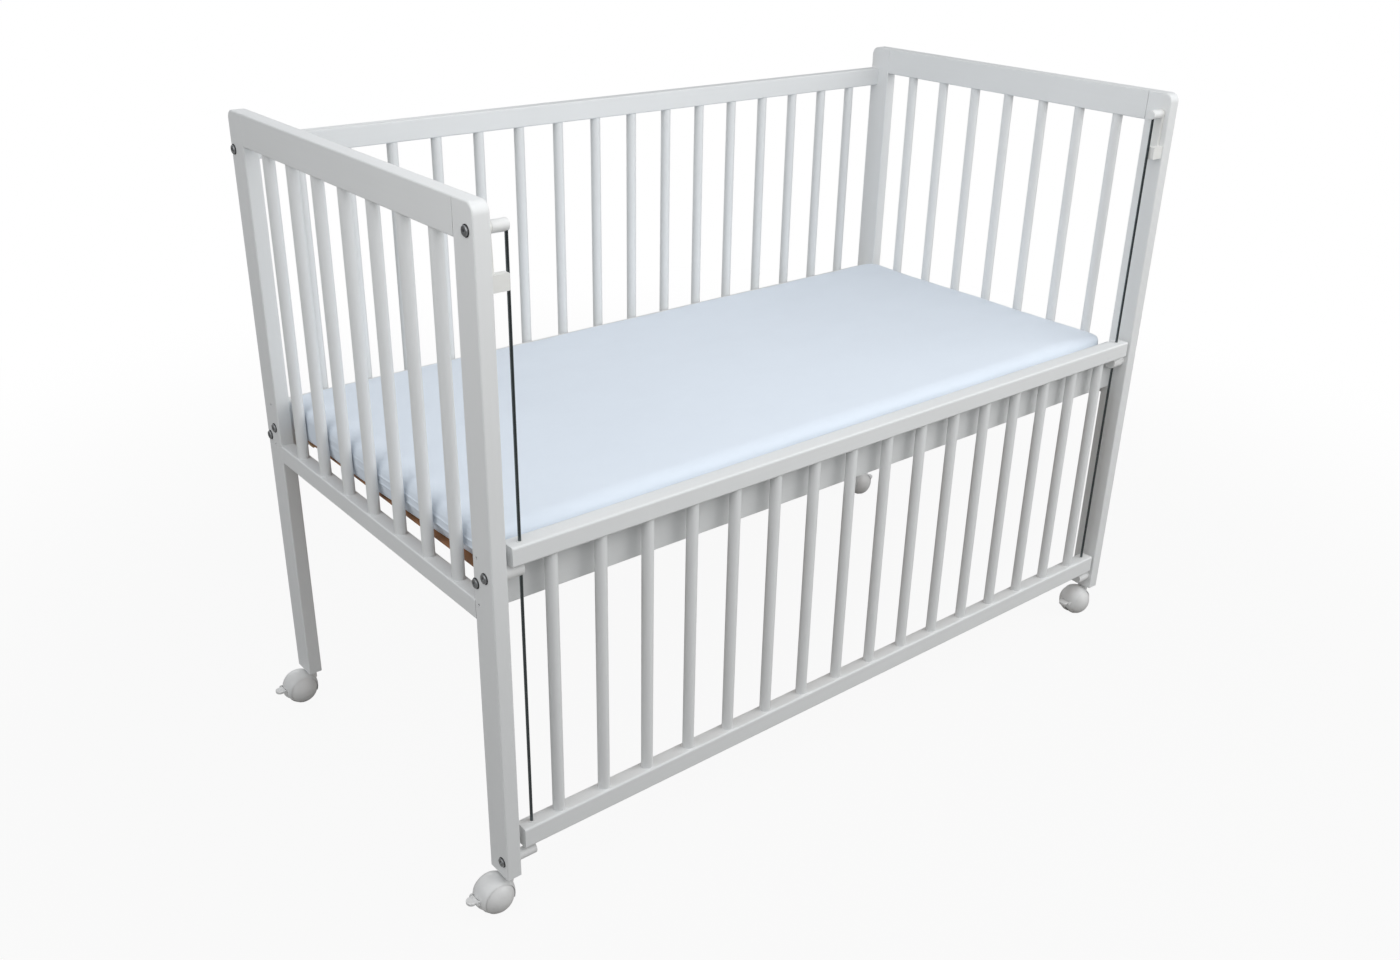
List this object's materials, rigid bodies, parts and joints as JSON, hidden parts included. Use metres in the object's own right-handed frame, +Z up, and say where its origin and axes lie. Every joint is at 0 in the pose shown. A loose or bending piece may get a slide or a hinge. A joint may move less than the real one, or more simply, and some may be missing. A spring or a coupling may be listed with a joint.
{
  "type": "bedside cot",
  "caption": "Bedside cot on braked casters: spindle ends and back, foam mattress, and a drop side that slides on two steel rods.",
  "frame": {"origin": "on the floor under the middle of the plan, with the drop side lowered", "axes": "+X along the length, +Y from the drop side to the fixed rear panel, +Z up"},
  "size_m": [1.3492, 0.6448, 0.925],
  "materials": {
    "white_paint": "satin white paint",
    "bare_wood": "unpainted",
    "hardboard": "smooth brown hardboard",
    "cover": "matt woven cover",
    "rod_steel": "dark drawn steel",
    "zinc": "zinc plated",
    "black_washer": "black oxide",
    "white_plastic": "moulded",
    "catch_plastic": "moulded, cream white",
    "wheel_plastic": "moulded"
  },
  "bodies": {
    "frame": {"barrel_nuts": "zinc", "base_panel": "hardboard", "bed_slats": "bare_wood", "bolt_washers": "black_washer", "caster_sockets": "zinc", "foot_pegs": "white_plastic", "front_ledge": "bare_wood", "front_side_board": "white_paint", "left_bottom_rail": "white_paint", "left_end_spindles": "white_paint", "left_front_post": "white_paint", "left_guide_rod": "rod_steel", "left_head_peg": "white_plastic", "left_rear_post": "white_paint", "left_top_rail": "white_paint", "mattress": "cover", "middle_pegs": "white_plastic", "panel_dowels": "bare_wood", "peg_bolts": "zinc", "rail_bolts": "zinc", "rear_bottom_rail": "white_paint", "rear_ledge": "bare_wood", "rear_side_board": "white_paint", "rear_spindles": "white_paint", "rear_top_rail": "white_paint", "right_bottom_rail": "white_paint", "right_end_spindles": "white_paint", "right_front_post": "white_paint", "right_guide_rod": "rod_steel", "right_head_peg": "white_plastic", "right_rear_post": "white_paint", "right_top_rail": "white_paint", "side_board_pins": "zinc"},
    "drop_side": {"drop_top_rail": "white_paint", "drop_bottom_rail": "white_paint", "drop_spindles": "white_paint", "rod_bushes": "white_plastic"},
    "left_catch": {"left_catch": "catch_plastic"},
    "right_catch": {"right_catch": "catch_plastic"},
    "left_front_caster": {"left_front_caster_hood": "white_plastic", "left_front_caster_axle": "zinc", "left_front_caster_stem": "zinc"},
    "left_front_wheels": {"left_front_caster_wheels": "wheel_plastic"},
    "left_front_brake_lever": {"left_front_caster_brake_lever": "white_plastic"},
    "right_front_caster": {"right_front_caster_hood": "white_plastic", "right_front_caster_axle": "zinc", "right_front_caster_stem": "zinc"},
    "right_front_wheels": {"right_front_caster_wheels": "wheel_plastic"},
    "right_front_brake_lever": {"right_front_caster_brake_lever": "white_plastic"},
    "left_rear_caster": {"left_rear_caster_hood": "white_plastic", "left_rear_caster_axle": "zinc", "left_rear_caster_stem": "zinc"},
    "left_rear_wheels": {"left_rear_caster_wheels": "wheel_plastic"},
    "left_rear_brake_lever": {"left_rear_caster_brake_lever": "white_plastic"},
    "right_rear_caster": {"right_rear_caster_hood": "white_plastic", "right_rear_caster_axle": "zinc", "right_rear_caster_stem": "zinc"},
    "right_rear_wheels": {"right_rear_caster_wheels": "wheel_plastic"},
    "right_rear_brake_lever": {"right_rear_caster_brake_lever": "white_plastic"}
  },
  "joints": [
    {"name": "drop_side_slide", "type": "slide", "parent": "frame", "child": "drop_side", "axis": [0, 0, 1], "range_m": [0, 0.3578]},
    {"name": "left_catch_swing", "type": "hinge", "parent": "frame", "child": "left_catch", "pos_m": [-0.604, -0.3025, 0.894], "axis": [1, 0, 0], "range_deg": [0, 36]},
    {"name": "right_catch_swing", "type": "hinge", "parent": "frame", "child": "right_catch", "pos_m": [0.604, -0.3025, 0.894], "axis": [1, 0, 0], "range_deg": [0, 36]},
    {"name": "left_front_caster_swivel", "type": "hinge", "parent": "frame", "child": "left_front_caster", "pos_m": [-0.6145, -0.296, 0.0516], "axis": [0, 0, 1], "continuous": true},
    {"name": "left_front_wheels_spin", "type": "hinge", "parent": "left_front_caster", "child": "left_front_wheels", "pos_m": [-0.6345, -0.296, 0.0245], "axis": [0, 1, 0], "continuous": true},
    {"name": "left_front_brake_tip", "type": "hinge", "parent": "left_front_caster", "child": "left_front_brake_lever", "pos_m": [-0.6621, -0.296, 0.0285], "axis": [0, -1, 0], "range_deg": [0, 18]},
    {"name": "right_front_caster_swivel", "type": "hinge", "parent": "frame", "child": "right_front_caster", "pos_m": [0.6145, -0.296, 0.0516], "axis": [0, 0, 1], "continuous": true},
    {"name": "right_front_wheels_spin", "type": "hinge", "parent": "right_front_caster", "child": "right_front_wheels", "pos_m": [0.5945, -0.296, 0.0245], "axis": [0, 1, 0], "continuous": true},
    {"name": "right_front_brake_tip", "type": "hinge", "parent": "right_front_caster", "child": "right_front_brake_lever", "pos_m": [0.5669, -0.296, 0.0285], "axis": [0, -1, 0], "range_deg": [0, 18]},
    {"name": "left_rear_caster_swivel", "type": "hinge", "parent": "frame", "child": "left_rear_caster", "pos_m": [-0.6145, 0.296, 0.0516], "axis": [0, 0, 1], "continuous": true},
    {"name": "left_rear_wheels_spin", "type": "hinge", "parent": "left_rear_caster", "child": "left_rear_wheels", "pos_m": [-0.6345, 0.296, 0.0245], "axis": [0, 1, 0], "continuous": true},
    {"name": "left_rear_brake_tip", "type": "hinge", "parent": "left_rear_caster", "child": "left_rear_brake_lever", "pos_m": [-0.6621, 0.296, 0.0285], "axis": [0, -1, 0], "range_deg": [0, 18]},
    {"name": "right_rear_caster_swivel", "type": "hinge", "parent": "frame", "child": "right_rear_caster", "pos_m": [0.6145, 0.296, 0.0516], "axis": [0, 0, 1], "continuous": true},
    {"name": "right_rear_wheels_spin", "type": "hinge", "parent": "right_rear_caster", "child": "right_rear_wheels", "pos_m": [0.6345, 0.296, 0.0245], "axis": [0, 1, 0], "continuous": true},
    {"name": "right_rear_brake_tip", "type": "hinge", "parent": "right_rear_caster", "child": "right_rear_brake_lever", "pos_m": [0.6621, 0.296, 0.0285], "axis": [0, 1, 0], "range_deg": [0, 18]}
  ],
  "couplings": [
    {"joint": "left_catch_swing", "follows": "drop_side_slide", "rad_per_m": 1.756},
    {"joint": "right_catch_swing", "follows": "drop_side_slide", "rad_per_m": 1.756}
  ]
}
